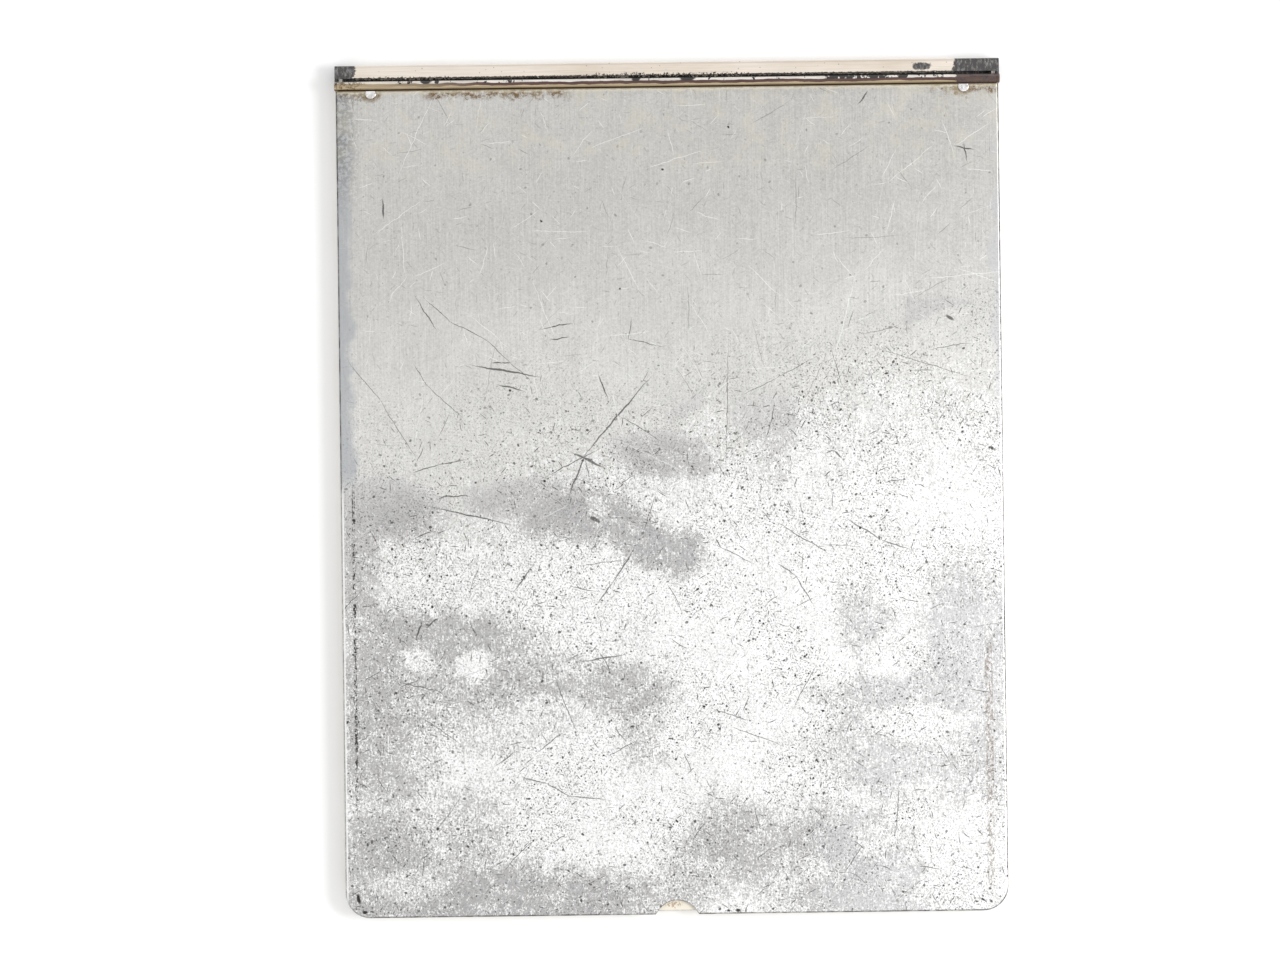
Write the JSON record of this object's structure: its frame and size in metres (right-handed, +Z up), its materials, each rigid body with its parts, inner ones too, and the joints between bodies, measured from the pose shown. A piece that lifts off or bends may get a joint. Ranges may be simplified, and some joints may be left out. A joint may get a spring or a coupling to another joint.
{
  "type": "hinged metal sheet holder",
  "caption": "Flat worn-aluminium sheet holder: cover with thumb notch hinged at a lacquered spine over a shallow tray with a sprung clip.",
  "frame": {"origin": "middle of the footprint, on the surface the holder lies on", "axes": "+Z up through the closed cover, +Y towards the hinged spine, +X to the right seen from above with the spine at the top"},
  "size_m": [0.24, 0.308, 0.0097],
  "materials": {
    "worn_aluminium": "bare sheet, brushed, scratched and pitted",
    "cream_enamel": "aged cream enamel on sheet metal, worn bare underneath",
    "lacquered_spine": "nickel silver with worn black lacquer",
    "rivet_metal": "rubbed bright",
    "steel": "nickel plated, dulled",
    "spring_steel": "dark drawn wire"
  },
  "bodies": {
    "holder": {"back_tray": "cream_enamel", "spine_channel": "lacquered_spine", "hinge_rod": "steel", "clip_base": "steel", "clip_pin": "steel", "hinge_ear_left": "lacquered_spine", "ear_rivet_left": "rivet_metal", "clip_spring_left": "spring_steel", "hinge_ear_right": "lacquered_spine", "ear_rivet_right": "rivet_metal", "clip_spring_right": "spring_steel", "spine_rivet_1": "rivet_metal", "spine_rivet_2": "rivet_metal", "spine_rivet_3": "rivet_metal", "spine_rivet_4": "rivet_metal", "spine_rivet_5": "rivet_metal", "clip_rivet_1": "rivet_metal", "clip_rivet_2": "rivet_metal", "clip_rivet_3": "rivet_metal", "clip_rivet_4": "rivet_metal"},
    "cover": {"cover_plate": "worn_aluminium", "hinge_barrel": "lacquered_spine", "cover_rivet_left": "rivet_metal", "cover_rivet_right": "rivet_metal"},
    "jaw": {"clip_jaw": "steel"}
  },
  "joints": [
    {"name": "cover_hinge", "type": "hinge", "parent": "holder", "child": "cover", "pos_m": [0, 0.1465, 0.0081], "axis": [-1, 0, 0], "range_deg": [0, 180]},
    {"name": "jaw_pivot", "type": "hinge", "parent": "holder", "child": "jaw", "pos_m": [0, 0.136, 0.0036], "axis": [-1, 0, 0], "range_deg": [0, 11], "stiffness_Nm_per_rad": 0.8, "springref_deg": -28.65}
  ]
}
